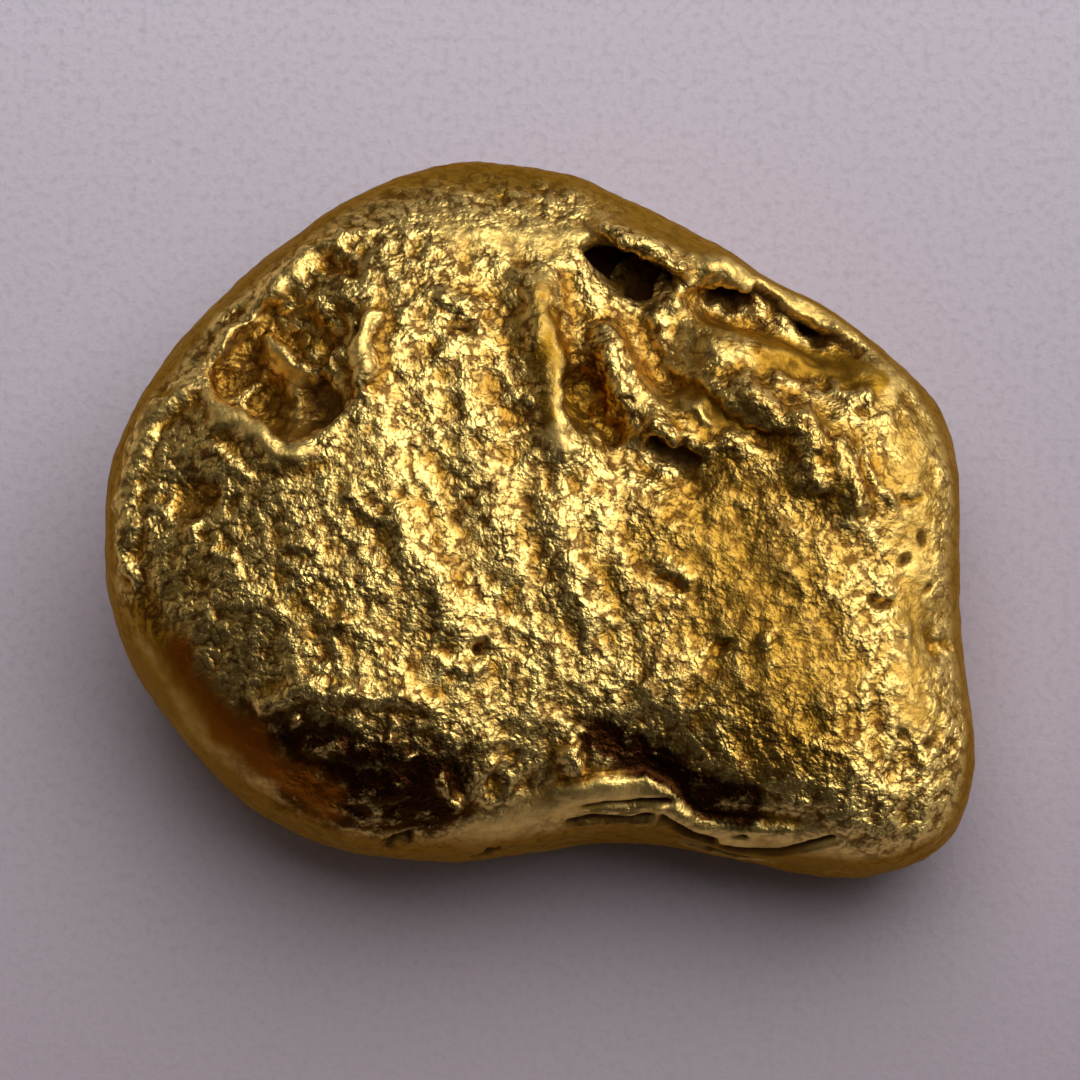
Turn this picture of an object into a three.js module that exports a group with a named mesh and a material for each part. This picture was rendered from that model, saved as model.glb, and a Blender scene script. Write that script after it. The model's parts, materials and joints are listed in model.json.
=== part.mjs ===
// A placer gold nugget: one water-worn piece of native gold, a little under 9 mm long.
// Millimetres, +Z up. It lies on the worn flat of its underside at z = 0, centred over the origin.
// Seen from above it is a broad kidney: a thick left lobe, a thinner right lobe that slopes away,
// a shallow valley between them, and a folded ledge where the valley runs out at the front.
import * as THREE from 'three';
import { mergeVertices } from 'three/addons/utils/BufferGeometryUtils.js';
import { ImprovedNoise } from 'three/addons/math/ImprovedNoise.js';

// Driving dimensions, in millimetres
const worn = 0.16; // how far the round underside is worn flat
const facetRings = 21; // splits of each icosahedron edge, which sets the facet size

// The widest outline, seen from above, anticlockwise from the right-hand side
const outline = [
  [4.22, -0.45], [4.2, 0.36], [3.98, 1.07], [3.45, 1.63], [2.6, 2.19], [1.6, 2.82], [0.6, 3.29],
  [-0.3, 3.47], [-1.08, 3.42], [-1.84, 3.09], [-2.64, 2.53], [-3.4, 1.83], [-3.98, 1.06], [-4.28, 0.25],
  [-4.33, -0.51], [-4.16, -1.32], [-3.73, -2.1], [-3.05, -2.82], [-2.15, -3.36], [-1.2, -3.5],
  [-0.2, -3.43], [0.5, -3.3], [1.3, -3.34], [2.2, -3.5], [3.3, -3.61], [3.95, -3.4], [4.28, -2.9],
  [4.33, -2.28], [4.23, -1.27],
];

// Height of the top above the table, along X
const crownHeights = [
  [-4.4, 3.22], [-3.4, 3.27], [-1.7, 3.28], [-0.9, 3.12], [-0.2, 2.95], [0.2, 2.94],
  [0.9, 2.8], [1.6, 2.69], [2.6, 2.66], [3.4, 2.62], [4.4, 2.5],
];

// How the side turns into the top, by compass angle in degrees: 2 is a plain ellipse, more is squarer
const shoulders = [
  [0, 4.2], [45, 3.0], [95, 2.9], [135, 3.8], [175, 5.0],
  [205, 4.0], [235, 3.2], [265, 3.0], [290, 3.3], [325, 4.0],
];
// Height of the widest line above the table, by compass angle in degrees
const waists = [[0, 1.15], [60, 1.35], [120, 1.5], [190, 1.5], [240, 1.3], [290, 1.05], [330, 1.0]];

// Broad lumps (+) and hollows (-) of the top: centre, half-lengths, turn in degrees, height.
// A hollow with a wall has a floor that is flat over all but that share of its half-lengths.
const swells = [
  { name: 'upper right basin', at: [1.0, 1.35], half: [1.1, 1.25], turn: 20, rise: -0.3 },
  { name: 'brown hollow by the crest', at: [0.58, 0.81], half: [0.3, 0.6], turn: 20, rise: -0.26 },
  { name: 'deep hole under the fold', at: [0.88, 2.2], half: [0.5, 0.24], turn: -33, rise: -0.6 },
  { name: 'pale knob', at: [1.75, 1.45], half: [0.55, 0.4], turn: -20, rise: 0.2 },
  { name: 'smooth trough', at: [2.9, 1.15], half: [0.75, 0.32], turn: -18, rise: -0.16 },
  { name: 'crater', at: [-2.5, 1.2], half: [0.86, 0.84], turn: -30, rise: -0.34, wall: 0.42 },
  { name: 'crater bowl', at: [-2.2, 1.5], half: [0.36, 0.34], turn: 0, rise: -0.1 },
  { name: 'left dimple', at: [-3.5, -0.2], half: [0.42, 0.5], turn: 10, rise: -0.1 },
  { name: 'front notch', at: [1.05, -2.75], half: [0.85, 0.6], turn: 8, rise: -0.22 },
  { name: 'front left cheek', at: [-1.6, -2.6], half: [1.5, 0.9], turn: 0, rise: 0.06 },
  { name: 'right edge dip', at: [4.0, -1.25], half: [0.6, 0.5], turn: 0, rise: -0.16 },
];

// Crests (+) and grooves (-) on the top: a line of points, half-width, height
const strokes = [
  {
    name: 'long crest',
    line: [[0.0, 2.35], [0.06, 1.6], [0.16, 1.0], [0.24, 0.52], [0.5, 0.25]],
    half: 0.3,
    rise: 0.14,
  },
  {
    name: 'crater rim',
    line: [[-3.28, 1.15], [-3.05, 0.8], [-2.52, 0.38], [-2.05, 0.62], [-1.75, 1.05], [-1.68, 1.7]],
    half: 0.3,
    rise: 0.12,
  },
  {
    name: 'lumpy ridge',
    line: [[0.55, 1.65], [0.78, 1.17], [0.98, 0.84], [1.5, 0.36]],
    half: 0.34,
    rise: 0.24,
  },
  {
    name: 'slot below the lumpy ridge',
    line: [[0.85, 0.42], [1.2, 0.24], [1.75, 0.06]],
    half: 0.28,
    rise: -0.22,
  },
  {
    name: 'slanting ridge',
    line: [[1.45, 1.12], [2.05, 0.92], [2.5, 0.7]],
    half: 0.3,
    rise: 0.17,
  },
  {
    name: 'right diagonal ridge',
    line: [[2.5, 0.75], [2.78, 0.35], [3.0, 0.0], [3.2, -0.45]],
    half: 0.35,
    rise: 0.13,
  },
  {
    name: 'rolled rim',
    line: [[0.45, 2.75], [1.1, 2.45], [1.7, 2.25], [2.4, 2.0], [3.1, 1.65]],
    half: 0.3,
    rise: 0.14,
  },
  {
    name: 'crack inside the rolled rim',
    line: [[1.4, 2.05], [1.95, 1.9], [2.3, 1.85], [2.65, 1.68], [3.3, 1.32]],
    half: 0.27,
    rise: -0.34,
  },
];

// Crests and grooves round the side, as points in space, because a wall has no plan
const wallStrokes = [
  {
    name: 'front lip',
    line: [
      [0.0, -2.92, 2.0], [0.6, -2.9, 2.2], [1.0, -2.84, 2.25],
      [1.35, -3.05, 1.95], [1.9, -3.3, 1.6], [2.6, -3.35, 1.5],
    ],
    half: 0.3,
    rise: 0.13,
  },
  {
    name: 'front cleft',
    line: [
      [0.4, -3.05, 1.6], [0.8, -3.05, 1.6], [1.2, -3.12, 1.5],
      [1.6, -3.3, 1.25], [2.2, -3.41, 1.15], [3.0, -3.3, 1.1],
    ],
    half: 0.28,
    rise: -0.18,
  },
  {
    name: 'back fold',
    line: [[-2.9, 2.3, 1.0], [-1.4, 3.3, 1.1], [0.2, 3.4, 0.9], [1.6, 2.8, 1.1]],
    half: 0.3,
    rise: -0.14,
  },
  {
    name: 'left fold',
    line: [[-4.2, 0.5, 0.8], [-4.3, -0.6, 0.95], [-3.9, -1.8, 0.8]],
    half: 0.28,
    rise: -0.12,
  },
  {
    name: 'underside crease',
    line: [[-2.4, -2.2, 0.3], [-1.9, -0.6, 0.0], [-2.6, 1.2, 0.3]],
    half: 0.5,
    rise: -0.26,
  },
  {
    name: 'underside valley',
    line: [[1.4, -3.0, 0.6], [1.9, -1.2, 0.1], [2.9, 0.6, 0.4], [3.9, 0.8, 0.9]],
    half: 0.5,
    rise: -0.3,
  },
];

// Soft unevenness everywhere: wavelength and height
const waves = [
  { length: 2.3, height: 0.05 },
  { length: 0.85, height: 0.04 },
];

const smooth = (t) => {
  const s = Math.min(1, Math.max(0, t));
  return s * s * (3 - 2 * s);
};

// Value at a compass angle, eased between the listed ones
function around(list, degrees) {
  const angle = ((degrees % 360) + 360) % 360;
  const after = list.findIndex(([a]) => a > angle);
  const [a0, v0] = list.at(after < 0 ? -1 : after - 1);
  const [a1, v1] = list[after < 0 ? 0 : after];
  const span = (a1 - a0 + 360) % 360;
  return v0 + (v1 - v0) * smooth(((angle - a0 + 360) % 360) / span);
}

// Distance from the origin to the outline, by angle
function makeOutline() {
  const steps = 1440;
  const curve = new THREE.CatmullRomCurve3(outline.map(([x, y]) => new THREE.Vector3(x, y, 0)), true);
  const samples = curve.getPoints(steps).map((p) => [Math.atan2(p.y, p.x), Math.hypot(p.x, p.y)]);
  samples.sort((a, b) => a[0] - b[0]);
  return (angle) => {
    const next = samples.findIndex(([a]) => a > angle);
    const [a0, r0] = samples.at(next < 0 ? -1 : next - 1);
    const [a1, r1] = samples[next < 0 ? 0 : next];
    const turn = 2 * Math.PI;
    const share = ((angle - a0 + turn) % turn) / ((a1 - a0 + turn) % turn);
    return r0 + (r1 - r0) * share;
  };
}

// Height of one swell at a place: a round dome, or a flat-floored crater where it has a wall
function swellAt({ at, half, turn, rise, wall }, x, y) {
  const a = THREE.MathUtils.degToRad(turn);
  const u = ((x - at[0]) * Math.cos(a) + (y - at[1]) * Math.sin(a)) / half[0];
  const v = ((y - at[1]) * Math.cos(a) - (x - at[0]) * Math.sin(a)) / half[1];
  const away = Math.hypot(u, v);
  return rise * smooth((1 - away) / (wall ?? 1));
}

// A stroke's line as sample points, made once
function traced(stroke) {
  const curve = new THREE.CatmullRomCurve3(stroke.line.map(([x, y, z = 0]) => new THREE.Vector3(x, y, z)));
  return { ...stroke, samples: curve.getPoints(60) };
}

// Height of one stroke at a place, fading at its ends
function strokeAt({ samples, half, rise }, place) {
  let nearest = Infinity;
  let index = 0;
  samples.forEach((p, i) => {
    const d = p.distanceToSquared(place);
    if (d < nearest) [nearest, index] = [d, i];
  });
  const along = index / (samples.length - 1);
  const ends = smooth(Math.min(along, 1 - along) / 0.16);
  return rise * ends * smooth(1 - Math.sqrt(nearest) / half);
}

// Height of one wave at a place
function waveAt(noise, { length, height }, place) {
  return height * noise.noise(place.x / length + 7.3, place.y / length, place.z / length + 2.1);
}

// Value at a place along X, in straight steps between the listed ones
function alongX(list, x) {
  const after = list.findIndex(([a]) => a > x);
  if (after === 0) return list[0][1];
  if (after < 0) return list.at(-1)[1];
  const [[a0, v0], [a1, v1]] = [list[after - 1], list[after]];
  return v0 + ((v1 - v0) * (x - a0)) / (a1 - a0);
}

// The top without its details: flat over the left lobe, stepping down to the right, rounded back and front
function crownAt(x, y) {
  const soften = 0.35; // the listed heights are blurred over this reach
  const reach = [-1, -0.5, 0, 0.5, 1].map((s) => alongX(crownHeights, x + s * soften));
  const height = reach.reduce((sum, v) => sum + v, 0) / reach.length;
  const back = Math.max(0, y - 0.8);
  const front = Math.max(0, -0.9 - y);
  return height - 0.03 * back ** 2 - 0.015 * front ** 2;
}

// A point of the smooth body in the given direction
function bodyPoint(direction, reach) {
  const waistShift = THREE.MathUtils.degToRad(14); // more of the facets go to the top than to the underside
  const quarter = Math.PI / 2;
  const angle = Math.atan2(direction.y, direction.x);
  const compass = THREE.MathUtils.radToDeg(angle);
  const latitude = Math.asin(THREE.MathUtils.clamp(direction.z, -1, 1)) + waistShift;
  const above = latitude > 0;
  const tilt = (latitude / (above ? quarter + waistShift : quarter - waistShift)) * quarter;
  const squareness = above ? around(shoulders, compass) : 2.4;
  const out = Math.cos(tilt);
  const up = Math.abs(Math.sin(tilt));
  const size = (out ** squareness + up ** squareness) ** (-1 / squareness);
  const radius = out * size * reach(angle);
  const x = radius * Math.cos(angle);
  const y = radius * Math.sin(angle);
  const waist = around(waists, compass);
  const share = up * size;
  if (!above) return new THREE.Vector3(x, y, waist - share * (waist + worn));
  const swell = swells.reduce((sum, s) => sum + swellAt(s, x, y), 0);
  return new THREE.Vector3(x, y, waist + share * (crownAt(x, y) + swell - waist));
}

function nuggetGeometry() {
  const sphere = new THREE.IcosahedronGeometry(1, facetRings);
  sphere.deleteAttribute('normal');
  sphere.deleteAttribute('uv');
  const geometry = mergeVertices(sphere, 1e-5);
  const places = geometry.getAttribute('position');
  const reach = makeOutline();
  const place = new THREE.Vector3();
  for (let i = 0; i < places.count; i++) {
    const body = bodyPoint(place.fromBufferAttribute(places, i).normalize(), reach);
    places.setXYZ(i, body.x, body.y, body.z);
  }

  // The crests, grooves and waves stand out along the body's own surface
  geometry.computeVertexNormals();
  const normals = geometry.getAttribute('normal').clone();
  const topStrokes = strokes.map(traced);
  const sideStrokes = wallStrokes.map(traced);
  const noise = new ImprovedNoise();
  const normal = new THREE.Vector3();
  for (let i = 0; i < places.count; i++) {
    place.fromBufferAttribute(places, i);
    normal.fromBufferAttribute(normals, i);
    const plan = new THREE.Vector3(place.x, place.y, 0);
    const onTop = smooth((normal.z + 0.05) / 0.35);
    const top = topStrokes.reduce((sum, s) => sum + strokeAt(s, plan), 0);
    const side = sideStrokes.reduce((sum, s) => sum + strokeAt(s, place), 0);
    const uneven = waves.reduce((sum, wave) => sum + waveAt(noise, wave, place), 0);
    place.addScaledVector(normal, onTop * top + side + uneven);
    places.setXYZ(i, place.x, place.y, Math.max(0, place.z));
  }

  // Centre it over the origin
  geometry.deleteAttribute('normal');
  geometry.computeBoundingBox();
  const middle = geometry.boundingBox.getCenter(new THREE.Vector3());
  geometry.translate(-middle.x, -middle.y, 0);
  geometry.computeVertexNormals();
  return geometry;
}

const gold = new THREE.MeshStandardMaterial({ color: '#d9a53a', roughness: 0.3, metalness: 1 });
const nugget = new THREE.Mesh(nuggetGeometry(), gold);
nugget.name = 'nugget';

const group = new THREE.Group();
group.add(nugget);
export default group;
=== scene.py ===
import json
import math

import bmesh
import bpy
import numpy as np
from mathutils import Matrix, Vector, noise

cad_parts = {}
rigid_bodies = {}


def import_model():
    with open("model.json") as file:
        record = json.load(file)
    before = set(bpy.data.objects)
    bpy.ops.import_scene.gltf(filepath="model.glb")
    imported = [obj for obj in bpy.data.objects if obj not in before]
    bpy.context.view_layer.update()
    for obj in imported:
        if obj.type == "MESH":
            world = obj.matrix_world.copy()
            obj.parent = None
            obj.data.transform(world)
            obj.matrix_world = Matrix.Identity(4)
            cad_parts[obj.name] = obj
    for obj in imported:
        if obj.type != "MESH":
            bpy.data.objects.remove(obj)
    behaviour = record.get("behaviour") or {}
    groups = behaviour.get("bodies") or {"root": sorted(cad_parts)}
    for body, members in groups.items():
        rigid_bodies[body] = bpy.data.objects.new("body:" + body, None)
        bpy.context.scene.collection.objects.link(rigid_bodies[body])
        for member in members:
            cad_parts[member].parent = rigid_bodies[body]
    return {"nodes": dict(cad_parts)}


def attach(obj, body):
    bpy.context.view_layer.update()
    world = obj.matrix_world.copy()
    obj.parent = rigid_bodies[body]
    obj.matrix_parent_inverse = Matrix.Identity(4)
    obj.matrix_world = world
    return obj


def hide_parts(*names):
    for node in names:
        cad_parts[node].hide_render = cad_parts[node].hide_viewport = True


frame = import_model()
scene = bpy.context.scene
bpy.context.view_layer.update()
print("loaded the packed nugget")

# Where the photograph was taken from; lengths in metres, angles in degrees
viewing = {
    "elevation": 80.0,
    "azimuth": 0.0,
    "distance": 0.12,
    "target": (0.0, -0.00024, 0.0015),
    "width": 0.0108,  # what the picture's width shows at the target
    "sensor": 36.0,
}


def directionOf(azimuth, elevation):
    # Azimuth 0 is -Y, the photograph's near side, and it turns towards +X
    a = math.radians(azimuth)
    e = math.radians(elevation)
    return Vector((math.sin(a) * math.cos(e), -math.cos(a) * math.cos(e), math.sin(e)))


# Helpers for meshes held as arrays
def readPlaces(mesh):
    places = np.empty(len(mesh.vertices) * 3)
    mesh.vertices.foreach_get("co", places)
    return places.reshape(-1, 3)


def writePlaces(mesh, places):
    mesh.vertices.foreach_set("co", places.ravel())
    mesh.update()


def readNormals(mesh):
    normals = np.empty(len(mesh.vertices) * 3, np.float32)
    mesh.vertex_normals.foreach_get("vector", normals)
    return normals.reshape(-1, 3).astype(float)


def smoothStep(t):
    t = np.clip(t, 0.0, 1.0)
    return t * t * (3 - 2 * t)


def applyModifiers(thing):
    graph = bpy.context.evaluated_depsgraph_get()
    mesh = bpy.data.meshes.new_from_object(thing.evaluated_get(graph))
    thing.modifiers.clear()
    thing.data = mesh


# The body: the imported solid's skin, welded, rounded and cut fine enough to sculpt. In millimetres at first.
body = {
    "weld": 0.002,
    "rounding": 1,  # subdivision levels over the solid's facets
    "spacing": 0.074,  # between the points of the underside; the upper side has twice as many each way
    "relax": 10,  # rounds of smoothing that take the solid's facets out
    "relaxShare": 0.5,  # of the way to the neighbours in each round
    "fineAbove": -0.1,  # a face whose normal's Z is above this is on the upper side
    "roundCut": 0.6,  # how far the cut edges' new points are rounded out
    "wearRounds": 24,  # rounds of smoothing that a point is compared with, to tell crest from hollow
    "wearHeight": 0.03,  # mm, from hollow to crest
}


def makeBody():
    mesh = frame["nodes"]["nugget"].data.copy()
    mesh.name = "nugget relief"
    piece = bpy.data.objects.new("nugget_relief", mesh)
    scene.collection.objects.link(piece)
    work = bmesh.new()
    work.from_mesh(mesh)
    bmesh.ops.scale(work, vec=(1000, 1000, 1000), verts=work.verts)
    bmesh.ops.remove_doubles(work, verts=work.verts, dist=body["weld"])
    work.to_mesh(mesh)
    work.free()
    rounding = piece.modifiers.new("rounding", "SUBSURF")
    rounding.levels = body["rounding"]
    rounding.render_levels = body["rounding"]
    remesh = piece.modifiers.new("even points", "REMESH")
    remesh.mode = "VOXEL"
    remesh.voxel_size = body["spacing"]
    relax = piece.modifiers.new("relax", "SMOOTH")
    relax.factor = body["relaxShare"]
    relax.iterations = body["relax"]
    applyModifiers(piece)
    work = bmesh.new()
    work.from_mesh(piece.data)
    work.normal_update()
    upper = [face for face in work.faces if face.normal.z > body["fineAbove"]]
    edges = list({edge for face in upper for edge in face.edges})
    bmesh.ops.subdivide_edges(work, edges=edges, cuts=1, use_grid_fill=True, smooth=body["roundCut"])
    bmesh.ops.triangulate(work, faces=[face for face in work.faces if len(face.verts) > 4])
    work.to_mesh(piece.data)
    work.free()
    return piece


nugget = makeBody()
triangles = sum(len(face.vertices) - 2 for face in nugget.data.polygons)
print("body:", len(nugget.data.vertices), "points,", triangles, "triangles")

# How the marks are laid on, in millimetres. Facing is 1 where the surface looks at the camera and 0 side-on.
marking = {
    "endFade": 0.15,  # share of a line's length over which it comes in
    "drifts": [{"length": 0.3, "reach": 0.07}, {"length": 0.11, "reach": 0.045}],  # how lines wander
    "driftSeeds": (5, 6),
    "shownFrom": 0.05,  # facing at which marks come in
    "shownOver": 0.22,
    "topFrom": 0.35,  # facing at which the peened top comes in
    "topOver": 0.4,
    "sideGrain": 0.45,  # share of the grain on the sides
    "grimeAndShadeSpread": 1.5,  # how widely the dark fill, partly dirt and partly painted shade, fills a mark, and how deep in it starts
    "grimeAndShadeStart": 0.25,
}


# Where the camera sees a place: millimetres right of and above the picture's middle. All marks are placed so.
def seenFrom(places):
    outward = np.array(directionOf(viewing["azimuth"], viewing["elevation"]))
    right = np.array(directionOf(viewing["azimuth"] + 90, 0))
    up = np.cross(outward, right)
    away = places - np.array(viewing["target"]) * 1000
    distance = viewing["distance"] * 1000
    nearer = distance / (distance - away @ outward)
    return np.stack([(away @ right) * nearer, (away @ up) * nearer], axis=1)


seedSteps = (3.7, 1.3, 7.9)  # how far along each axis a seed moves the noise


def noiseAt(places, length, seed):
    shift = Vector([seed * step for step in seedSteps])
    return np.array([noise.noise(Vector(place) / length + shift) for place in places])


# Signed distance to a line of points, positive on its left, and the share of its length where it is nearest
def besideLine(seen, line):
    points = np.array(line, float)
    steps = points[1:] - points[:-1]
    lengths = np.hypot(steps[:, 0], steps[:, 1])
    run = np.concatenate([[0], np.cumsum(lengths)])
    best = np.full(len(seen), np.inf)
    side = np.zeros(len(seen))
    share = np.zeros(len(seen))
    for i, step in enumerate(steps):
        away = seen - points[i]
        t = np.clip(away @ step / lengths[i] ** 2, 0, 1)
        gap = away - t[:, None] * step
        far = np.hypot(gap[:, 0], gap[:, 1])
        closer = far < best
        best[closer] = far[closer]
        side[closer] = np.sign(step[0] * away[:, 1] - step[1] * away[:, 0])[closer]
        share[closer] = ((run[i] + t * lengths[i]) / run[-1])[closer]
    return best * side, share


def endFade(share):
    return smoothStep(np.minimum(share, 1 - share) / marking["endFade"])


# A ridge (rise above 0) or groove (below 0) along a line
def ridge(seen, mark):
    beside, share = besideLine(seen, mark["line"])
    return mark["rise"] * smoothStep(1 - np.abs(beside) / mark["half"]) * endFade(share)


# A ledge: the ground drops on the left of the line and rises again further off; the right side has a lip
def ledge(seen, mark):
    beside, share = besideLine(seen, mark["line"])
    past = smoothStep(beside / mark["edge"])
    low = np.clip(1 - beside / mark["low"], 0, 1) ** 2
    lip = np.where(beside < 0, smoothStep(1 + beside / mark["high"]), 1 - past)
    lip = lip * (np.abs(beside) < mark["low"])
    return (mark["lip"] * lip - mark["drop"] * past * low) * endFade(share)


# A lump (rise above 0) or pit (below 0): an ellipse, turned in degrees; its floor is flat up to that share
def spot(seen, mark):
    turn = math.radians(mark.get("turn", 0))
    away = seen - np.array(mark["at"])
    u = (away[:, 0] * math.cos(turn) + away[:, 1] * math.sin(turn)) / mark["half"][0]
    v = (away[:, 1] * math.cos(turn) - away[:, 0] * math.sin(turn)) / mark["half"][1]
    floor = mark.get("floor", 0.0)
    return mark["rise"] * smoothStep((1 - np.hypot(u, v)) / (1 - floor))


# A mark that is "even" keeps its line; the rest wander. Its dark share is how much near-black fill it holds,
# partly dirt and partly painted shade.
ledges = [
    # the crater's wall, its right crest and the wall of its inner bowl
    {
        "line": [
            (-3.4, 1.75), (-3.33, 1.62), (-3.15, 1.36), (-2.95, 1.19), (-2.75, 1.08), (-2.61, 0.93),
            (-2.47, 0.93), (-2.26, 1.02), (-2.12, 1.13), (-1.85, 1.4),
        ],
        "drop": 0.34, "edge": 0.22, "low": 0.85, "lip": 0.0, "high": 0.22,
    },
    {
        "line": [(-1.8, 1.35), (-1.79, 1.6), (-1.79, 1.85), (-1.76, 2.05), (-1.63, 2.35)],
        "drop": 0.16, "edge": 0.16, "low": 0.45, "lip": 0.09, "high": 0.16,
    },
    {
        "line": [(-2.72, 2.15), (-2.61, 1.85), (-2.41, 1.68), (-2.26, 1.62), (-2.1, 1.75), (-2.0, 2.0)],
        "drop": 0.14, "edge": 0.12, "low": 0.36, "lip": 0.1, "high": 0.12,
    },
    # the wall of the long crest, round the brown hollow
    {
        "line": [
            (0.0, 2.85), (0.05, 2.45), (0.08, 2.1), (0.12, 1.7), (0.15, 1.3), (0.22, 1.0),
            (0.38, 0.88), (0.62, 0.9),
        ],
        "drop": 0.16, "edge": 0.3, "low": 0.85, "lip": 0.03, "high": 0.3,
    },
    # under the rolled fold
    {
        "line": [
            (3.35, 1.84), (3.19, 1.94), (2.99, 2.02), (2.84, 2.08), (2.64, 2.14), (2.53, 2.25),
            (2.36, 2.37), (2.15, 2.51), (2.04, 2.42), (1.78, 2.45), (1.5, 2.55),
        ],
        "drop": 0.08, "edge": 0.06, "low": 0.4, "lip": 0.04, "high": 0.2,
    },
    {
        "line": [(2.5, 1.06), (2.07, 1.19), (1.9, 1.36), (1.58, 1.56), (1.25, 1.76)],
        "drop": 0.09, "edge": 0.08, "low": 0.4, "lip": 0.04, "high": 0.2,
    },
    # the arched lip of the front notch
    {
        "line": [
            (0.0, -2.58), (0.3, -2.5), (0.6, -2.42), (1.05, -2.38), (1.27, -2.5), (1.4, -2.7),
            (1.6, -2.83), (2.1, -2.88), (2.8, -2.92),
        ],
        "drop": 0.08, "edge": 0.1, "low": 0.3, "lip": 0.06, "high": 0.3, "even": True,
    },
]

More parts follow.
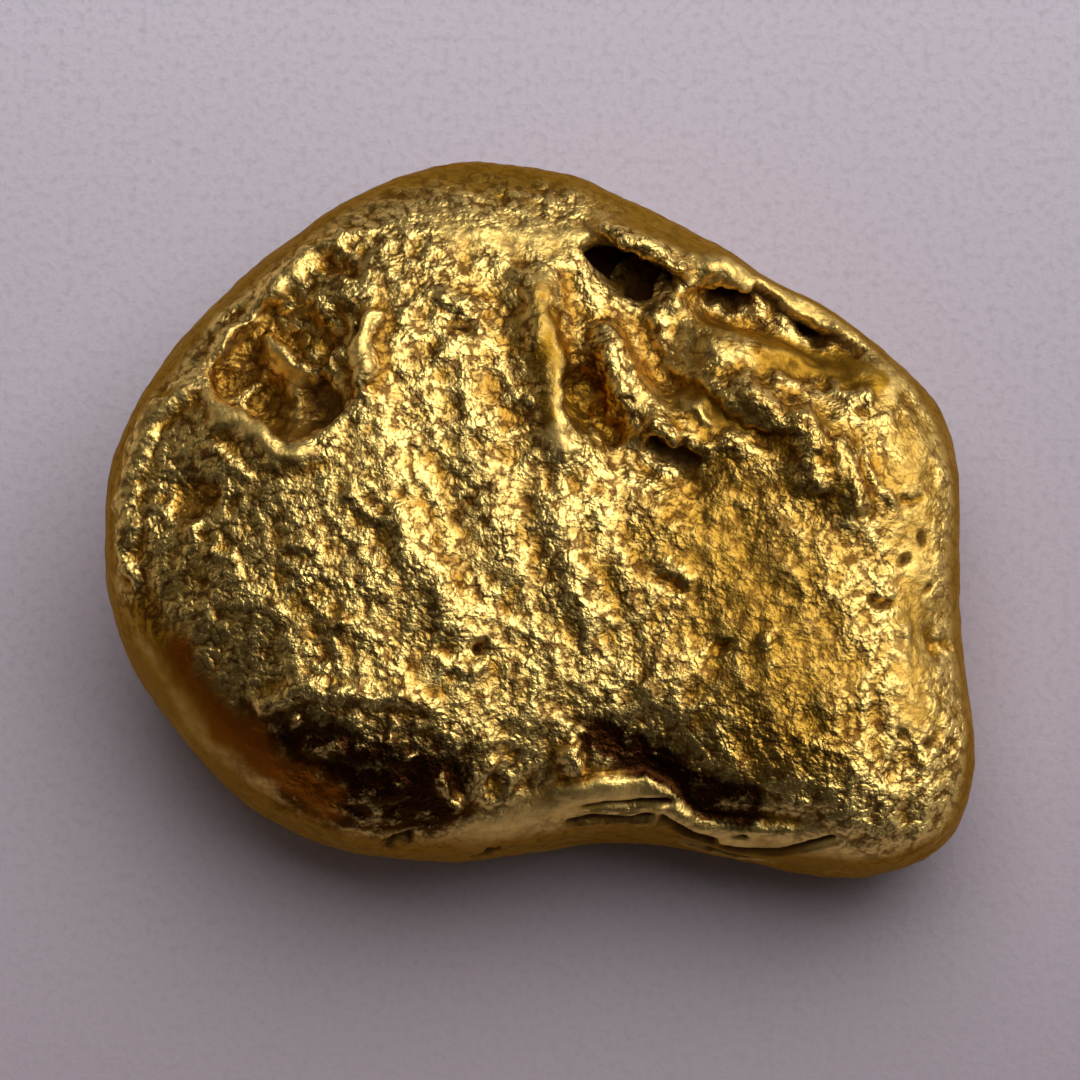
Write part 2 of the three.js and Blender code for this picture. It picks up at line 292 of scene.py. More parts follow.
ridges = [
    # the bead along the left shoulder
    {
        "line": [
            (-4.05, -0.6), (-4.12, -0.2), (-4.12, 0.4), (-4.0, 0.8), (-3.9, 1.13), (-3.61, 1.45),
            (-3.35, 1.72),
        ],
        "half": 0.14, "rise": 0.13,
    },
    {
        "line": [
            (-3.35, 1.68), (-3.18, 1.91), (-2.84, 2.25), (-2.61, 2.57), (-2.29, 2.8), (-1.95, 3.0),
            (-1.6, 3.08),
        ],
        "half": 0.14, "rise": 0.13,
    },
    # the bright crests of the crater's walls
    {
        "line": [
            (-3.42, 1.62), (-3.2, 1.3), (-2.98, 1.12), (-2.79, 1.0), (-2.63, 0.83), (-2.45, 0.83),
            (-2.2, 0.93),
        ],
        "half": 0.17, "rise": 0.09,
    },
    {"line": [(-2.78, 2.1), (-2.66, 1.82), (-2.46, 1.6), (-2.26, 1.55)], "half": 0.15, "rise": 0.09},
    {"line": [(-1.76, 1.5), (-1.74, 1.75), (-1.72, 2.05), (-1.58, 2.32)], "half": 0.15, "rise": 0.08},
    # small crests round the crater and above the flutes
    {"line": [(-3.3, 1.0), (-3.17, 0.85), (-3.02, 0.7), (-2.92, 0.6)], "half": 0.11, "rise": 0.04},
    {"line": [(-3.4, -0.08), (-3.2, -0.15), (-3.0, -0.22)], "half": 0.1, "rise": 0.035},
    {"line": [(-2.75, 2.45), (-2.6, 2.4), (-2.45, 2.25)], "half": 0.12, "rise": 0.045},
    {"line": [(-2.3, 2.5), (-2.2, 2.35), (-2.1, 2.2)], "half": 0.13, "rise": 0.055},
    {"line": [(-1.1, 2.45), (-0.85, 2.38), (-0.6, 2.35), (-0.5, 2.2)], "half": 0.13, "rise": 0.055},
    {"line": [(-0.3, 2.75), (-0.1, 2.55), (0.0, 2.2), (-0.08, 1.9)], "half": 0.14, "rise": 0.05},
    # flutes down the middle
    {"line": [(-1.05, 2.0), (-0.85, 1.75), (-0.7, 1.4), (-0.55, 0.9)], "half": 0.3, "rise": 0.06},
    {"line": [(-0.7, 1.0), (-0.45, 0.5), (-0.3, 0.0), (-0.2, -0.5)], "half": 0.3, "rise": 0.06},
    {"line": [(-1.5, 0.4), (-1.2, -0.2), (-0.9, -0.7), (-0.75, -1.1)], "half": 0.32, "rise": 0.07},
    {"line": [(0.1, 0.6), (0.2, 0.0), (0.45, -0.6), (0.7, -1.0)], "half": 0.34, "rise": 0.055},
    {"line": [(0.5, 0.5), (0.65, 0.0), (0.9, -0.45), (1.15, -0.8)], "half": 0.26, "rise": 0.045},
    # the beaded lip over the deep hole
    {
        "line": [
            (0.5, 3.2), (0.58, 3.14), (0.81, 3.03), (1.04, 2.91), (1.21, 2.8), (1.38, 2.68),
            (1.52, 2.58),
        ],
        "half": 0.13, "rise": 0.13,
    },
    # the lumps round the brown hollow
    {"line": [(1.08, 2.3), (1.2, 2.12), (1.24, 1.9)], "half": 0.16, "rise": 0.08},
    {
        "line": [(0.55, 2.2), (0.7, 2.0), (0.7, 1.8), (0.8, 1.59), (0.92, 1.36)],
        "half": 0.22, "rise": 0.1,
    },
    {"line": [(1.0, 1.2), (1.15, 1.1), (1.3, 0.98), (1.42, 0.88)], "half": 0.2, "rise": 0.11},
    {"line": [(1.82, 1.08), (2.0, 0.96), (2.14, 0.8)], "half": 0.17, "rise": 0.06},
    # the lumpy ridge below the smooth trough
    {"line": [(1.95, 1.68), (2.1, 1.5), (2.25, 1.33), (2.42, 1.22)], "half": 0.16, "rise": 0.06},
    {"line": [(2.28, 1.66), (2.5, 1.6), (2.75, 1.5)], "half": 0.13, "rise": 0.06},
    {"line": [(2.85, 1.6), (3.1, 1.48), (3.35, 1.38)], "half": 0.14, "rise": 0.065},
    {"line": [(2.5, 1.3), (2.68, 1.0), (2.72, 0.75), (2.85, 0.45)], "half": 0.28, "rise": 0.11},
    {"line": [(2.9, 1.05), (3.08, 0.8), (3.15, 0.5), (3.2, 0.2)], "half": 0.2, "rise": 0.07},
    {"line": [(3.2, 1.0), (3.3, 0.75), (3.45, 0.45), (3.6, 0.3)], "half": 0.07, "rise": 0.05},
    {"line": [(3.58, 0.4), (3.7, 0.37), (3.85, 0.42)], "half": 0.05, "rise": -0.06},
    # small strokes on the plateaus
    {"line": [(1.2, -0.2), (1.35, -0.3), (1.55, -0.42)], "half": 0.11, "rise": 0.04},
    {"line": [(-1.05, -1.22), (-0.72, -1.3), (-0.48, -1.18)], "half": 0.13, "rise": 0.055},
    {"line": [(-2.6, 0.0), (-2.4, -0.08), (-2.15, -0.16)], "half": 0.11, "rise": 0.04},
    {"line": [(-1.98, 0.48), (-1.75, 0.33), (-1.5, 0.12)], "half": 0.12, "rise": 0.045},
    {"line": [(-2.4, -0.55), (-2.2, -0.65), (-2.2, -0.85)], "half": 0.1, "rise": 0.035},
    # folds on the front flank
    {"line": [(-2.4, -2.02), (-2.19, -2.12), (-1.92, -2.12)], "half": 0.12, "rise": 0.06},
    {"line": [(-1.04, -2.25), (-0.96, -2.52), (-0.72, -2.7)], "half": 0.1, "rise": 0.12},
    {"line": [(0.22, -2.0), (0.32, -2.2), (0.38, -2.4)], "half": 0.15, "rise": 0.14},
    {
        "line": [(-3.0, -1.72), (-2.4, -1.52), (-1.85, -1.56), (-1.3, -1.58), (-0.9, -1.8)],
        "half": 0.16, "rise": 0.07,
    },
    # cracks: under the rolled fold, under the lip of the notch and along the front rim, with a near-black
    # fill that is partly dirt and partly painted shade
    {
        "line": [
            (1.5, 2.55), (1.78, 2.43), (2.04, 2.4), (2.15, 2.49), (2.36, 2.36), (2.64, 2.14),
            (2.99, 2.01), (3.33, 1.85),
        ],
        "half": 0.065, "rise": -0.14, "grime_and_shade": 0.85,
    },
    {"line": [(1.05, 0.95), (1.3, 0.82), (1.58, 0.7)], "half": 0.11, "rise": -0.2, "grime_and_shade": 0.8},
    {"line": [(1.15, -0.32), (1.3, -0.42), (1.45, -0.5)], "half": 0.07, "rise": -0.08},
    {
        "line": [(0.35, -2.7), (0.6, -2.66), (0.95, -2.63), (1.27, -2.6), (1.4, -2.66)],
        "half": 0.06, "rise": -0.12, "grime_and_shade": 1.0, "even": True,
    },
    {
        "line": [(0.2, -2.88), (0.47, -2.81), (0.85, -2.8), (1.21, -2.77)],
        "half": 0.06, "rise": -0.11, "grime_and_shade": 0.9, "even": True,
    },
    {
        "line": [(1.15, -2.78), (1.3, -2.86), (1.5, -2.97), (1.8, -3.06)],
        "half": 0.1, "rise": -0.24, "grime_and_shade": 1.0, "even": True,
    },
    {
        "line": [(1.7, -3.06), (1.95, -3.12), (2.4, -3.12), (2.71, -3.06), (3.05, -2.96)],
        "half": 0.06, "rise": -0.12, "grime_and_shade": 1.0, "even": True,
    },
    {"line": [(-1.6, -3.06), (-1.45, -3.0), (-1.25, -2.94)], "half": 0.06, "rise": -0.08, "grime_and_shade": 0.8},
    {"line": [(-0.7, -3.18), (-0.55, -3.16), (-0.35, -3.1)], "half": 0.06, "rise": -0.08, "grime_and_shade": 0.8},
]

spots = [
    # in and round the crater; the dark fill of its pits is painted shade
    {"at": (-2.62, 1.5), "half": (0.36, 0.28), "rise": -0.08, "grime_and_shade": 0.05},
    {"at": (-2.2, 1.45), "half": (0.3, 0.2), "rise": -0.1, "grime_and_shade": 0.35},
    {"at": (-2.9, 1.75), "half": (0.2, 0.14), "turn": 40, "rise": -0.05, "grime_and_shade": 0.1},
    {"at": (-2.75, 2.3), "half": (0.24, 0.14), "turn": 45, "rise": -0.09},
    {"at": (-2.0, 2.75), "half": (0.36, 0.14), "turn": -5, "rise": -0.09},
    # the shallow bowl at the left and the slit above the flutes
    {"at": (-3.5, 0.45), "half": (0.38, 0.34), "rise": -0.09},
    {"at": (-3.48, 0.1), "half": (0.16, 0.18), "rise": 0.09},
    {"at": (-0.8, 2.15), "half": (0.2, 0.08), "turn": -5, "rise": -0.2, "grime_and_shade": 1.0},
    # the brown hollow
    {"at": (0.45, 1.5), "half": (0.26, 0.45), "turn": 12, "rise": -0.17},
    {"at": (0.72, 1.12), "half": (0.26, 0.16), "turn": -30, "rise": -0.14},
    # the deep hole, with a near-black fill that is partly dirt and partly painted shade
    {"at": (0.85, 2.74), "half": (0.46, 0.17), "turn": -22, "rise": -0.6, "floor": 0.3, "grime_and_shade": 1.0},
    {"at": (0.62, 2.9), "half": (0.26, 0.13), "turn": -8, "rise": -0.3, "grime_and_shade": 1.0},
    {"at": (1.24, 2.66), "half": (0.26, 0.09), "turn": -28, "rise": -0.3, "grime_and_shade": 1.0},
    {"at": (0.98, 2.53), "half": (0.14, 0.16), "turn": 30, "rise": -0.35, "grime_and_shade": 1.0},
    # the rolled fold, its crack, and the trough and lumps in front of it
    {"at": (1.3, 2.36), "half": (0.16, 0.2), "turn": -20, "rise": 0.08},
    {"at": (1.82, 2.7), "half": (0.4, 0.19), "turn": -28, "rise": 0.1},
    {"at": (1.88, 2.4), "half": (0.27, 0.11), "turn": -14, "rise": -0.26, "grime_and_shade": 0.9},
    {"at": (2.68, 2.14), "half": (0.24, 0.12), "turn": -32, "rise": -0.3, "grime_and_shade": 1.0},
    {"at": (2.92, 2.1), "half": (0.08, 0.07), "rise": 0.12},
    {"at": (1.7, 1.95), "half": (0.42, 0.34), "turn": -15, "rise": 0.02},
    {"at": (2.72, 1.66), "half": (0.7, 0.22), "turn": -12, "rise": -0.09},
    {"at": (1.55, 1.3), "half": (0.36, 0.14), "turn": -32, "rise": 0.08},
    {"at": (1.66, 0.9), "half": (0.08, 0.07), "rise": 0.09},
    # pits and dents of the right shoulder
    {"at": (3.45, -0.6), "half": (0.2, 0.08), "rise": -0.12, "grime_and_shade": 0.5},
    {"at": (3.9, -0.48), "half": (0.07, 0.08), "rise": -0.1, "grime_and_shade": 0.8},
    {"at": (3.65, -0.18), "half": (0.07, 0.06), "rise": -0.07, "grime_and_shade": 0.7},
    {"at": (3.85, 0.0), "half": (0.07, 0.06), "rise": -0.06, "grime_and_shade": 0.7},
    {"at": (3.63, -0.92), "half": (0.12, 0.12), "rise": 0.05},
    {"at": (3.98, -1.05), "half": (0.13, 0.24), "turn": 20, "rise": -0.1},
    {"at": (3.65, -1.95), "half": (0.08, 0.06), "rise": -0.07, "grime_and_shade": 0.7},
    {"at": (3.9, -2.0), "half": (0.07, 0.07), "rise": -0.08, "grime_and_shade": 0.8},
    # small pits and lumps elsewhere
    {"at": (1.8, -1.05), "half": (0.16, 0.09), "rise": -0.1},
    {"at": (2.25, -1.0), "half": (0.12, 0.16), "turn": -30, "rise": 0.07},
    {"at": (-0.62, -1.08), "half": (0.11, 0.1), "rise": -0.15, "grime_and_shade": 1.0},
    {"at": (-1.52, -1.98), "half": (0.08, 0.07), "rise": 0.08},
    {"at": (-2.0, -0.85), "half": (0.15, 0.13), "rise": 0.09},
    {"at": (-2.23, -2.33), "half": (0.12, 0.07), "turn": -40, "rise": 0.06},
    {"at": (-1.33, -2.17), "half": (0.13, 0.07), "turn": 20, "rise": 0.06},
    {"at": (-2.45, -1.85), "half": (0.09, 0.07), "rise": 0.05},
    {"at": (-0.5, -2.22), "half": (0.07, 0.14), "rise": 0.07},
    {"at": (-0.45, -2.45), "half": (0.12, 0.2), "rise": -0.1},
    {"at": (2.0, -2.98), "half": (0.12, 0.05), "rise": -0.1, "grime_and_shade": 0.9},
    {"at": (1.2, -2.65), "half": (0.07, 0.06), "rise": 0.06},
]

# Places worn smoother than the rest: a line, its half-width, and how much of the grain is gone
calm = [
    {
        "line": [(3.5, 1.4), (3.72, 0.9), (3.75, 0.4), (3.8, -0.4), (3.75, -1.4), (3.75, -2.3)],
        "half": 0.4, "rise": 0.6,
    },
    {
        "line": [(2.1, 1.95), (2.5, 1.85), (2.9, 1.76), (3.4, 1.6), (3.7, 1.3)],
        "half": 0.26, "rise": 0.75,
    },
    {
        "line": [(1.4, 2.85), (1.85, 2.68), (2.3, 2.5), (2.8, 2.25), (3.3, 2.0)],
        "half": 0.24, "rise": 0.6,
    },
    {"line": [(1.2, 2.1), (1.5, 2.02), (1.9, 1.95), (2.3, 1.9)], "half": 0.4, "rise": 0.3},
    {"line": [(1.3, 0.3), (2.0, -0.2), (2.5, -1.0), (2.7, -1.9)], "half": 1.2, "rise": 0.25},
    {"line": [(1.3, 1.6), (1.6, 1.35), (2.2, 1.1)], "half": 0.25, "rise": 0.6},
    {"line": [(-4.0, -0.8), (-3.6, -1.5), (-3.1, -2.05), (-2.5, -2.5)], "half": 0.45, "rise": 0.9},
    {"line": [(-2.9, 1.35), (-2.6, 1.15), (-2.3, 1.25)], "half": 0.3, "rise": 0.25},
    {
        "line": [
            (-3.42, 1.62), (-3.2, 1.3), (-2.98, 1.12), (-2.79, 1.0), (-2.63, 0.85), (-2.45, 0.85),
            (-2.2, 0.95),
        ],
        "half": 0.14, "rise": 0.8,
    },
    {
        "line": [
            (-4.12, -0.2), (-4.12, 0.4), (-3.9, 1.13), (-3.35, 1.7), (-2.84, 2.25), (-2.29, 2.8),
            (-1.6, 3.08),
        ],
        "half": 0.14, "rise": 0.3,
    },
    {"line": [(-2.78, 2.1), (-2.66, 1.82), (-2.46, 1.6), (-2.26, 1.55)], "half": 0.12, "rise": 0.7},
    {"line": [(-1.76, 1.5), (-1.74, 1.75), (-1.72, 2.05), (-1.58, 2.32)], "half": 0.12, "rise": 0.6},
    {"line": [(0.0, 2.8), (0.05, 2.4), (0.1, 1.6), (0.2, 1.0), (0.5, 0.85)], "half": 0.16, "rise": 0.8},
    {"line": [(-1.2, 3.2), (-0.6, 3.05), (0.2, 3.0), (0.8, 3.3)], "half": 0.3, "rise": 0.5},
    {
        "line": [
            (-1.2, -3.1), (-0.3, -2.85), (0.4, -2.58), (1.0, -2.52), (1.5, -2.95), (2.6, -3.1),
            (3.5, -3.1),
        ],
        "half": 0.3, "rise": 0.8,
    },
]

# Brown stain in the folds and hollows that wear doesn't reach; inside the crater it is painted shade
discolour_and_shade_marks = [
    {"line": [(2.0, 1.95), (2.5, 1.85), (2.9, 1.76), (3.6, 1.5)], "half": 0.36, "rise": 1.3},
    {
        "line": [(1.4, 2.85), (1.85, 2.68), (2.3, 2.5), (2.8, 2.25), (3.3, 2.0)],
        "half": 0.3, "rise": 0.7,
    },
    {"line": [(1.4, 2.05), (1.75, 2.0), (2.1, 1.98)], "half": 0.34, "rise": 0.8},
    {"line": [(0.12, 2.4), (0.22, 1.9), (0.28, 1.5)], "half": 0.2, "rise": 1.1},
    {
        "line": [(-4.1, -0.3), (-3.88, -0.9), (-3.53, -1.42), (-3.13, -1.93), (-2.57, -2.4)],
        "half": 0.41, "rise": 1.1,
    },
    # inside the crater: painted shade
    {
        "line": [(-2.98, 1.75), (-2.7, 1.55), (-2.42, 1.42), (-2.15, 1.5), (-2.0, 1.75)],
        "half": 0.26, "rise": 0.7,
    },
    {"line": [(-2.55, 1.65), (-2.35, 1.6)], "half": 0.4, "rise": 0.65},
    {
        "line": [(-2.4, 3.2), (-1.0, 3.62), (0.2, 3.6), (1.4, 3.1), (2.6, 2.5), (3.6, 1.85)],
        "half": 0.34, "rise": 0.8,
    },
    {"line": [(0.35, 1.75), (0.45, 1.35), (0.8, 1.05)], "half": 0.36, "rise": 1.0},
    {"line": [(0.3, 2.7), (0.7, 2.4), (1.0, 2.3)], "half": 0.5, "rise": 0.2},
    {"line": [(1.25, 1.76), (1.58, 1.5), (2.07, 1.12), (2.5, 1.0)], "half": 0.2, "rise": 0.9},
    {"line": [(-2.4, 2.1), (-2.25, 1.85)], "half": 0.3, "rise": 0.8},
    {"line": [(0.0, 2.7), (0.05, 2.2), (0.05, 1.6), (0.15, 1.0)], "half": 0.24, "rise": 1.3},
    {
        "line": [(3.5, 1.9), (3.7, 1.0), (3.8, 0.0), (3.75, -1.4), (3.75, -2.6)],
        "half": 0.8, "rise": 0.75,
    },
    {
        "line": [(1.0, 0.9), (1.7, 0.2), (2.3, -0.9), (2.5, -1.9), (2.6, -2.8)],
        "half": 2.4, "rise": 0.88,
    },
    {"line": [(1.2, 1.7), (2.1, 1.3), (2.8, 0.9), (3.5, 0.2)], "half": 0.9, "rise": 0.8},
]

# Red iron rust on the shoulder at the lower left
rust = [
    {
        "line": [
            (-3.9, -0.75), (-3.52, -1.3), (-3.17, -1.78), (-2.7, -2.24), (-2.2, -2.56), (-1.7, -2.7),
        ],
        "half": 0.44, "rise": 1.05,
    },
]

# A thin near-black coat over the front flank, in the notch, in the crater and along the trough: partly grime,
# partly painted shade
shade_and_grime_coat = [
    {
        "line": [(-3.3, -2.0), (-2.6, -2.0), (-1.8, -2.1), (-1.0, -2.3), (-0.3, -2.3)],
        "half": 0.75, "rise": 1.0,
    },
    {
        "line": [(-2.8, -2.42), (-2.3, -2.62), (-1.7, -2.78), (-1.1, -2.76), (-0.5, -2.6)],
        "half": 0.3, "rise": 1.5,
    },
    {"line": [(2.1, 1.95), (2.5, 1.86), (2.9, 1.76), (3.4, 1.6)], "half": 0.26, "rise": 0.45},
    {
        "line": [(0.3, -1.75), (0.6, -1.95), (1.0, -2.15), (1.4, -2.4), (1.8, -2.6), (2.4, -2.72)],
        "half": 0.42, "rise": 1.5,
    },
    {
        "line": [(-3.15, 1.75), (-2.85, 1.58), (-2.55, 1.42), (-2.2, 1.42), (-1.95, 1.65)],
        "half": 0.24, "rise": 0.55,
    },
    {"line": [(-2.75, -2.22), (-2.2, -2.38), (-1.5, -2.48), (-0.9, -2.5)], "half": 0.34, "rise": 1.5},
]

# Unevenness all over: waves of a length and height in millimetres, drawn out along a slanting direction
grain = [
    {"length": 0.5, "height": 0.045, "seed": 1, "stretch": 2.2},
    {"length": 0.24, "height": 0.026, "seed": 2, "stretch": 1.8},
    {"length": 0.26, "height": 0.018, "seed": 4, "stretch": 1.3, "crested": True},
    {"length": 0.12, "height": 0.014, "seed": 3, "stretch": 1.0},
]
grainTurn = -62.0  # degrees from +X that the waves are drawn out along
crested = {"level": 0.3, "steep": 2.0}  # a crested wave has sharp tops: level less steep times the noise


def store(mesh, name, values):
    mesh.attributes.new(name, "FLOAT", "POINT").data.foreach_set("value", values.astype(np.float32))


def drawnOut(places, stretch):
    turn = math.radians(grainTurn)
    along = places[:, 0] * math.cos(turn) + places[:, 1] * math.sin(turn)
    across = places[:, 1] * math.cos(turn) - places[:, 0] * math.sin(turn)
    return np.stack([along / stretch, across, places[:, 2]], axis=1)


def waveAt(places, wave):
    height = noiseAt(drawnOut(places, wave["stretch"]), wave["length"], wave["seed"])
    if wave.get("crested"):
        height = crested["level"] - crested["steep"] * np.abs(height)
    return wave["height"] * height


def covered(seen, marks):
    return np.clip(np.max([ridge(seen, mark) for mark in marks], axis=0), 0, 1)


# How far each point stands out from the surface round it
def bulgeOf(mesh, places, normals, rounds):
    edges = np.empty(len(mesh.edges) * 2, int)
    mesh.edges.foreach_get("vertices", edges)
    ends = np.concatenate([edges[0::2], edges[1::2]])
    others = np.concatenate([edges[1::2], edges[0::2]])
    count = np.bincount(ends, minlength=len(places))
    smooth = places.copy()
    for _ in range(rounds):
        for axis in range(3):
            total = np.bincount(ends, weights=smooth[others, axis], minlength=len(places))
            smooth[:, axis] += body["relaxShare"] * (total / count - smooth[:, axis])
    return np.sum((places - smooth) * normals, axis=1)


def driftOf(places):
    total = np.zeros((len(places), 2))
    for drift in marking["drifts"]:
        ways = [noiseAt(places, drift["length"], seed) for seed in marking["driftSeeds"]]
        total += np.stack(ways, axis=1) * drift["reach"]
    return total


# What all the marks add to the height, and the near-black fill in them: partly dirt, partly painted shade
def laidOn(seen, steady):
    lift = np.zeros(len(seen))
    grime_and_shade = np.zeros(len(seen))
    for marks, shape in ((ledges, ledge), (ridges, ridge), (spots, spot)):
        for mark in marks:
            change = shape(steady if mark.get("even") else seen, mark)
            lift += change
            if "grime_and_shade" in mark:
                depth = change / mark["rise"] * marking["grimeAndShadeSpread"] - marking["grimeAndShadeStart"]
                grime_and_shade = np.maximum(grime_and_shade, mark["grime_and_shade"] * smoothStep(depth))
    return lift, grime_and_shade


def sculpt(piece):
    mesh = piece.data
    places = readPlaces(mesh)
    steady = seenFrom(places)
    seen = steady + driftOf(places)
    lift, grime_and_shade = laidOn(seen, steady)
    facing = readNormals(mesh) @ np.array(directionOf(viewing["azimuth"], viewing["elevation"]))
    shown = smoothStep((facing - marking["shownFrom"]) / marking["shownOver"])
    places += readNormals(mesh) * (lift * shown)[:, None]
    writePlaces(mesh, places)
    topness = smoothStep((facing - marking["topFrom"]) / marking["topOver"])
    peened = marking["sideGrain"] + (1 - marking["sideGrain"]) * topness
    roughness = peened * (1 - covered(seen, calm))
    rough = sum(waveAt(places, wave) for wave in grain)
    places += readNormals(mesh) * (rough * roughness)[:, None]
    places[:, 2] = np.maximum(places[:, 2], 0)
    writePlaces(mesh, places)
    # crest against hollow; the hollows are painted brown, partly patina and partly painted shade
    bulge = bulgeOf(mesh, places, readNormals(mesh), body["wearRounds"])
    store(mesh, "wear", np.clip(0.5 + bulge / body["wearHeight"], 0, 1))
    # how much a place faces the camera; where it faces away the metal is painted darker brown, partly tarnish
    # and partly painted shade
    store(mesh, "top", topness)
    store(mesh, "grain", roughness)
    # near-black fill: partly dirt, partly painted shade
    store(mesh, "grime_and_shade", grime_and_shade * shown)
    # brown stain, painted shade inside the crater
    store(mesh, "discolour_and_shade", covered(seen, discolour_and_shade_marks) * shown)
    store(mesh, "rust", covered(seen, rust) * shown)
    # the near-black coat: partly grime, partly painted shade
    store(mesh, "shade_and_grime_coat", covered(seen, shade_and_grime_coat) * shown)


sculpt(nugget)
print("sculpted")

# Back to metres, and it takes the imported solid's place
writePlaces(nugget.data, readPlaces(nugget.data) * 0.001)
nugget.data.polygons.foreach_set("use_smooth", [True] * len(nugget.data.polygons))
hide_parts("nugget")
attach(nugget, "root")


# Shader building: maths by operators, any other node by one method
class Value:
    def __init__(self, tree, socket):
        self.tree = tree
        self.socket = socket

    def maths(self, operation, *items):
        node = self.tree.nodes.new("ShaderNodeMath")
        node.operation = operation
        for slot, item in zip(node.inputs, items):
            plug(self.tree, slot, item)
        return Value(self.tree, node.outputs[0])

    def __add__(self, other):
        return self.maths("ADD", self, other)

    def __radd__(self, other):
        return self.maths("ADD", other, self)

    def __sub__(self, other):
        return self.maths("SUBTRACT", self, other)

    def __rsub__(self, other):
        return self.maths("SUBTRACT", other, self)

    def __mul__(self, other):
        return self.maths("MULTIPLY", self, other)

    def __rmul__(self, other):
        return self.maths("MULTIPLY", other, self)

    def clamped(self):
        return self.maths("MINIMUM", self.maths("MAXIMUM", self, 0.0), 1.0)


def plug(tree, slot, item):
    if isinstance(item, Value):
        tree.links.new(item.socket, slot)
    elif item is not None:
        slot.default_value = item


class Maker:
    def __init__(self, name):
        self.material = bpy.data.materials.new(name)
        self.material.use_nodes = True
        self.tree = self.material.node_tree
        self.tree.nodes.clear()

    def add(self, kind, settings, sockets, output=0):
        node = self.tree.nodes.new("ShaderNode" + kind)
        for name, value in settings.items():
            setattr(node, name, value)
        for name, value in sockets.items():
            plug(self.tree, node.inputs[name], value)
        return None if output is None else Value(self.tree, node.outputs[output])

    def mix(self, share, first, second):
        node = self.tree.nodes.new("ShaderNodeMix")
        node.data_type = "RGBA"
        plug(self.tree, node.inputs[0], share)
        plug(self.tree, node.inputs[6], first)
        plug(self.tree, node.inputs[7], second)
        return Value(self.tree, node.outputs[2])


# The metal: clean on the worn crests; in the hollows a brown that is partly patina and partly painted shade;
# on the sides facing away from the camera a darker brown that is partly tarnish and partly painted shade;
# near-black in the pits and cracks, partly dirt and partly painted shade
gold = {
    "clean": (1.0, 0.72, 0.23, 1.0),
    # sides facing away from the camera: partly tarnish, partly painted shade
    "side_shade_and_tarnish": (0.38, 0.2, 0.028, 1.0),
    # hollows: partly patina, partly painted shade
    "hollow": (0.5, 0.27, 0.04, 1.0),
    # brown stain, painted shade inside the crater
    "discolour_and_shade": (0.42, 0.225, 0.022, 1.0),
    "rust": (0.36, 0.105, 0.005, 1.0),
    # near-black fill of pits, cracks and the hole: partly dirt, partly painted shade
    "grime_and_shade": (0.07, 0.024, 0.008, 1.0),
    # the grooves between the domes: partly grime, partly painted shade
    "crease": (0.14, 0.055, 0.008, 1.0),
    # near-black coat, partly grime, partly painted shade
    "shade_and_grime_coat": (0.05, 0.016, 0.004, 1.0),
    "edgeTint": (0.95, 0.77, 0.45, 1.0),
    "roughness": 0.36,
    "rougher": {"grime_and_shade": 0.5, "crease": 0.1, "unworn": 0.1, "smooth": 0.18},  # added where each of these is
    "unmetallic": {"grime_and_shade": 0.7, "rust": 0.1},
    "dome": 0.09,  # mm, the size of the peened domes
    "domeDepth": 0.031,  # mm
    "pebbleDepth": 0.01,  # mm, the depth of the finer grains
    "satin": 0.0035,  # mm, the depth of the fine tooth that is left on the smooth parts
    "creaseShare": 0.9,
    "wander": {"Scale": 7.0, "Detail": 2.0, "Roughness": 0.6},  # bends the domes out of round
    "wanderReach": 0.17,  # mm
    # per millimetre: finer grains, patches of wear and stain, and where the domes are livelier
    "noises": {
        "grains": {"Scale": 25.0, "Detail": 2.0, "Roughness": 0.6},
        "patches": {"Scale": 1.3, "Detail": 4.0, "Roughness": 0.6},
        "lumps": {"Scale": 3.5, "Detail": 2.0, "Roughness": 0.5},
    },
    # what each share of colour is the sum of: for each value its middle and its weight
    "shares": {
        "lively": {"lumps": (0.3, 2.2)},
        "unshaded_clean": {"top": (0.0, 1.3), "patches": (0.45, -1.1)},
        "worn": {"wear": (0.03125, 1.6), "patches": (0.5, -0.8)},
        "crease": {"gaps": (0.44, 3.2), "grains": (0.5, -2.0)},
        "discolour_and_shade": {"discolour_and_shade": (0.0, 1.6), "wear": (0.5, -1.4), "patches": (0.6, 1.0)},
        "shade_and_grime_coat": {"shade_and_grime_coat": (0.0, 1.3), "specks": (0.0, -2.4), "lumps": (0.5, -1.2), "wear": (0.5, -1.4)},
        "rust": {"rust": (0.3, 1.6), "patches": (0.5, 2.2), "lumps": (0.5, 1.4)},
    },
    "speckLevel": 0.42,
}


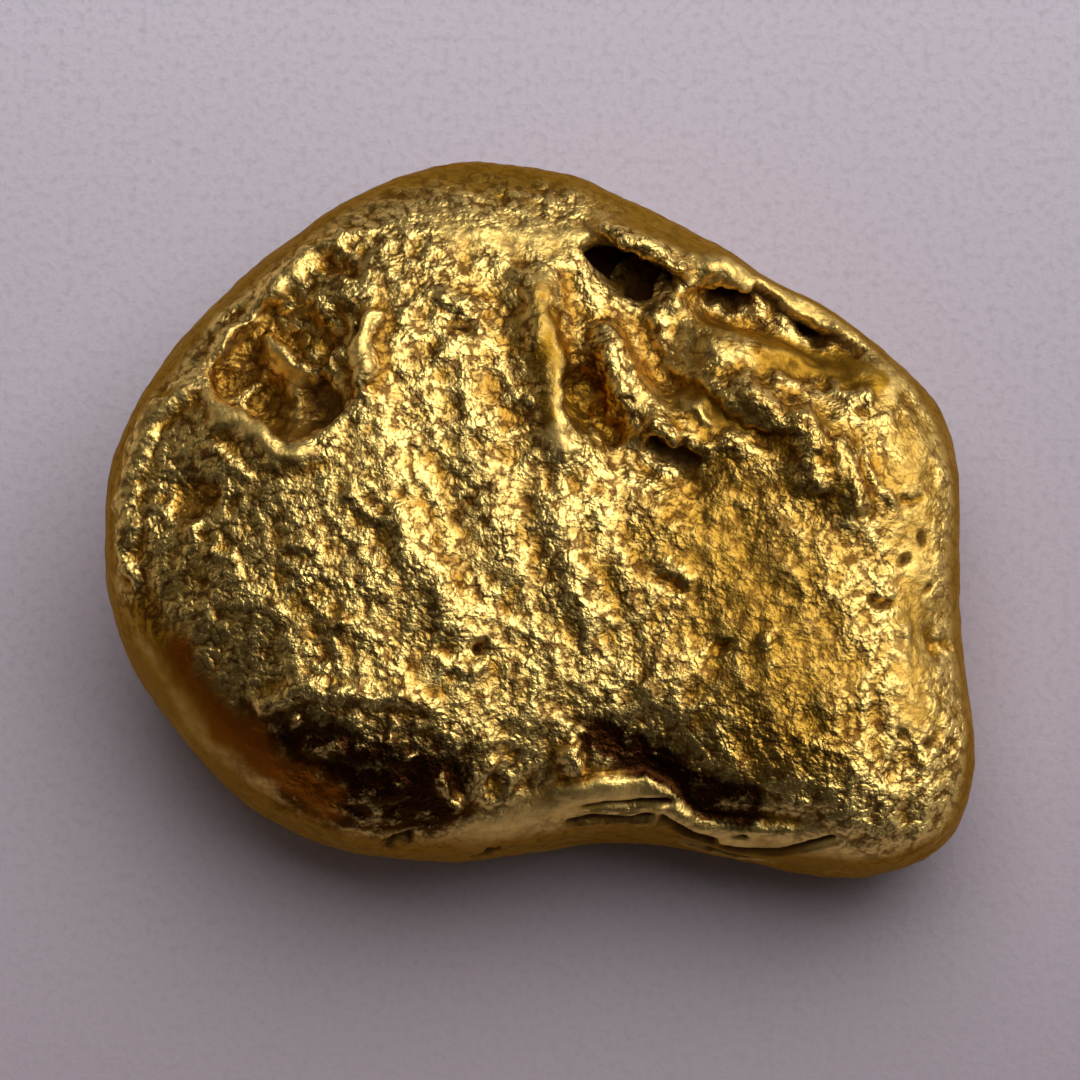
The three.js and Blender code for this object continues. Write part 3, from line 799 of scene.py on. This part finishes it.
def makeGold():
    make = Maker("gold")
    place = make.add("TexCoord", {}, {}, "Object")
    millimetres = make.add("VectorMath", {"operation": "SCALE"}, {0: place, "Scale": 1000.0})
    values = {}
    for name in ("top", "grime_and_shade", "grain", "discolour_and_shade", "rust", "shade_and_grime_coat", "wear"):
        values[name] = make.add("Attribute", {"attribute_name": name}, {}, "Fac")
    for name, settings in gold["noises"].items():
        values[name] = make.add("TexNoise", {}, {"Vector": millimetres, **settings})
    wander = make.add("TexNoise", {}, {"Vector": millimetres, **gold["wander"]}, "Color")
    wander = make.add("VectorMath", {"operation": "SCALE"}, {0: wander, "Scale": gold["wanderReach"]})
    bent = make.add("VectorMath", {"operation": "ADD"}, {0: millimetres, 1: wander})
    gaps = make.add("TexVoronoi", {}, {"Vector": bent, "Scale": 1 / gold["dome"]}, "Distance")
    grains = values["grains"]
    grain = values["grain"]
    grime_and_shade = values["grime_and_shade"]
    values["gaps"] = gaps
    values["specks"] = (grains - gold["speckLevel"]) * (1 - gaps)

    def share(name):
        parts = gold["shares"][name].items()
        return sum((values[part] - middle) * weight for part, (middle, weight) in parts).clamped()

    domes = grains * gold["pebbleDepth"] - gaps * share("lively") * gold["domeDepth"]
    height = domes * grain + grains * gold["satin"]
    bump = make.add("Bump", {}, {"Strength": 1.0, "Distance": 0.001, "Height": height})
    worn = share("worn")
    crease = share("crease") * grain
    rusty = share("rust") * values["rust"]
    # painted shade: brown in the hollows away from the crests, partly patina
    metal = make.mix(worn, gold["hollow"], gold["clean"])
    # painted shade: darker brown where the surface faces away from the camera, partly tarnish
    metal = make.mix(share("unshaded_clean"), gold["side_shade_and_tarnish"], metal)
    # brown stain, and painted shade inside the crater
    metal = make.mix(share("discolour_and_shade") * values["discolour_and_shade"], metal, gold["discolour_and_shade"])
    # painted shade: dark brown in the grooves between the domes, partly grime
    metal = make.mix(crease * gold["creaseShare"], metal, gold["crease"])
    # painted shade: the near-black coat over the front flank, the notch, the crater and the trough, partly
    # grime
    metal = make.mix(share("shade_and_grime_coat") * values["shade_and_grime_coat"], metal, gold["shade_and_grime_coat"])
    metal = make.mix(rusty, metal, gold["rust"])
    # painted shade: near-black in the pits, cracks and the deep hole, partly dirt
    metal = make.mix(grime_and_shade, metal, gold["grime_and_shade"])
    rougher = gold["rougher"]
    roughness = gold["roughness"] + grime_and_shade * rougher["grime_and_shade"] + crease * rougher["crease"]
    roughness = roughness + (1 - worn) * rougher["unworn"] + (1 - grain) * rougher["smooth"]
    metallic = 1.0 - grime_and_shade * gold["unmetallic"]["grime_and_shade"] - rusty * gold["unmetallic"]["rust"]
    shader = make.add(
        "BsdfPrincipled",
        {},
        {
            "Base Color": metal,
            "Specular Tint": gold["edgeTint"],
            "Roughness": roughness,
            "Metallic": metallic,
            "Normal": bump,
        },
    )
    make.add("OutputMaterial", {}, {"Surface": shader}, None)
    return make.material


nugget.data.materials.clear()
nugget.data.materials.append(makeGold())
print("metal made")

# The paper it lies on: brighter towards the window, and its colour painted darker towards the near side, a
# painted shade
paper = {
    "size": 0.09,
    "far": (0.87, 0.8, 0.9, 1.0),
    # the near side's darker colour is painted shade
    "near": (0.56, 0.48, 0.54, 1.0),
    "slope": 90.0,  # per metre, how fast near turns to far
    "fibre": (0.42, 0.37, 0.42, 1.0),
    "fibreShare": (0.02, 1.3),  # its share at the middle of its texture, and how much that adds
    "fibres": {"Scale": 11000.0, "Detail": 6.0, "Roughness": 0.6},
    "fibreDepth": 0.00002,
    "fibreStrength": 0.6,
    "roughness": 0.9,
}


def makePaper():
    bpy.ops.mesh.primitive_plane_add(size=paper["size"], location=(0, 0, 0))
    sheet = bpy.context.object
    sheet.name = "paper"
    make = Maker("paper")
    place = make.add("TexCoord", {}, {}, "Object")
    back = make.add("SeparateXYZ", {}, {"Vector": place}, "Y")
    fibres = make.add("TexNoise", {}, {"Vector": place, **paper["fibres"]})
    # painted shade: the paper's colour darkens towards the near side
    far = (back * paper["slope"] + 0.5).clamped()
    least, added = paper["fibreShare"]
    tone = make.mix(far, paper["near"], paper["far"])
    tone = make.mix((fibres - 0.5) * added + least, tone, paper["fibre"])
    relief = {"Strength": paper["fibreStrength"], "Distance": paper["fibreDepth"], "Height": fibres}
    bump = make.add("Bump", {}, relief)
    looks = {"Base Color": tone, "Roughness": paper["roughness"], "Metallic": 0.0, "Normal": bump}
    shader = make.add("BsdfPrincipled", {}, looks)
    make.add("OutputMaterial", {}, {"Surface": shader}, None)
    sheet.data.materials.append(make.material)


makePaper()

# Soft studio light: azimuth as for the camera, so 90 is the picture's right and 180 its top.
# "glow" is how bright the lamp's face is, and "on" is what it lights.
lamps = {
    "window": {
        "azimuth": 120, "elevation": 44, "distance": 0.25,
        "size": (0.26, 0.23), "glow": 3.4, "colour": (1.0, 0.97, 0.93), "on": "metal",
    },
    "ceiling": {
        "azimuth": 178, "elevation": 70, "distance": 0.3,
        "size": (0.34, 0.18), "glow": 0.1, "colour": (1.0, 0.97, 0.95), "on": "both",
    },
    "sky": {
        "azimuth": 160, "elevation": 60, "distance": 0.25,
        "size": (0.32, 0.28), "glow": 1.9, "colour": (0.98, 0.97, 1.0), "on": "paper",
    },
    "left strip": {
        "azimuth": 252, "elevation": 18, "distance": 0.25,
        "size": (0.3, 0.06), "glow": 0.85, "colour": (1.0, 0.84, 0.64), "on": "both",
    },
    "right fill": {
        "azimuth": 70, "elevation": 25, "distance": 0.25,
        "size": (0.16, 0.1), "glow": 0.5, "colour": (1.0, 0.95, 0.9), "on": "both",
    },
}
surroundings = {"colour": (0.012, 0.01, 0.009, 1.0)}


def lightScene():
    target = Vector(viewing["target"])
    for name, lamp in lamps.items():
        data = bpy.data.lights.new(name, "AREA")
        data.shape = "RECTANGLE"
        data.size, data.size_y = lamp["size"]
        data.energy = lamp["glow"] * math.pi * lamp["size"][0] * lamp["size"][1]
        data.color = lamp["colour"]
        thing = bpy.data.objects.new(name, data)
        scene.collection.objects.link(thing)
        thing.location = target + directionOf(lamp["azimuth"], lamp["elevation"]) * lamp["distance"]
        thing.rotation_euler = (target - thing.location).to_track_quat("-Z", "Y").to_euler()
        thing.visible_glossy = lamp["on"] != "paper"
        thing.visible_diffuse = lamp["on"] != "metal"
    world = bpy.data.worlds.new("room")
    world.use_nodes = True
    world.node_tree.nodes["Background"].inputs["Color"].default_value = surroundings["colour"]
    scene.world = world


lightScene()
print("lit")


def placeCamera():
    data = bpy.data.cameras.new("camera")
    data.sensor_width = viewing["sensor"]
    data.lens = viewing["sensor"] * viewing["distance"] / viewing["width"]
    data.clip_start = 0.001
    data.clip_end = 5.0
    camera = bpy.data.objects.new("camera", data)
    scene.collection.objects.link(camera)
    target = Vector(viewing["target"])
    camera.location = target + directionOf(viewing["azimuth"], viewing["elevation"]) * viewing["distance"]
    camera.rotation_euler = (target - camera.location).to_track_quat("-Z", "Y").to_euler()
    scene.camera = camera


placeCamera()
scene.view_settings.view_transform = "Standard"
scene.view_settings.look = "None"

print("done")
